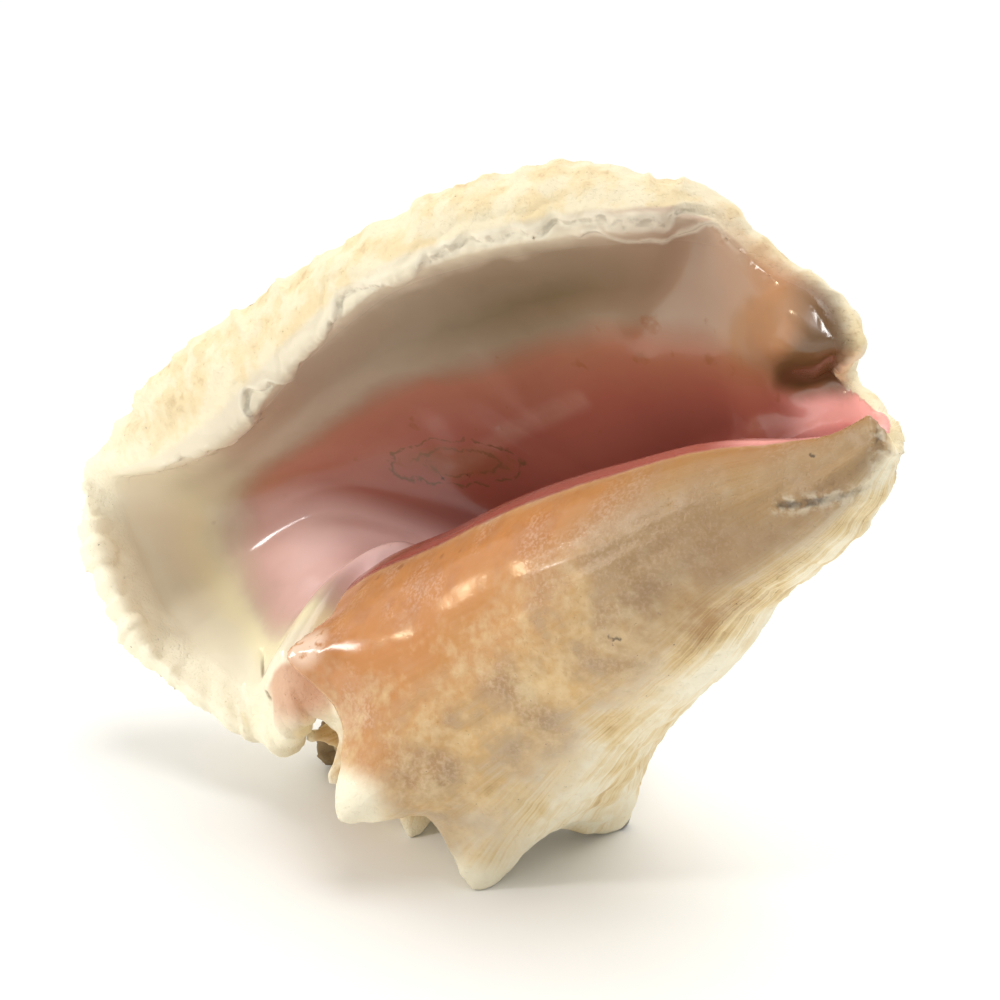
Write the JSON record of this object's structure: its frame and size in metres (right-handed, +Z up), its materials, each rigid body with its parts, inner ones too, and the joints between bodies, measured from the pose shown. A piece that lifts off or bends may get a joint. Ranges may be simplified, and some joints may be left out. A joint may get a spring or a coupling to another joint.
{
  "type": "queen conch shell",
  "caption": "Empty queen conch shell with shoulder spines, a short spire and a wide flared lip round a glossy opening; a display or doorstop shell that lies on its spines",
  "frame": {"origin": "middle of the shell's bounding box in X and Y, at the height of the worn spine tips that it lies on", "axes": "+Z up, +X the long way of the lying shell from the spire's side to the canal, +Y away from the side that the opening faces"},
  "size_m": [0.2054, 0.1534, 0.1738],
  "materials": {
    "shell": "glossy porcelain inside and round the opening, worn and chalky outside"
  },
  "bodies": {
    "root": {"conch_shell": "shell"}
  },
  "joints": []
}
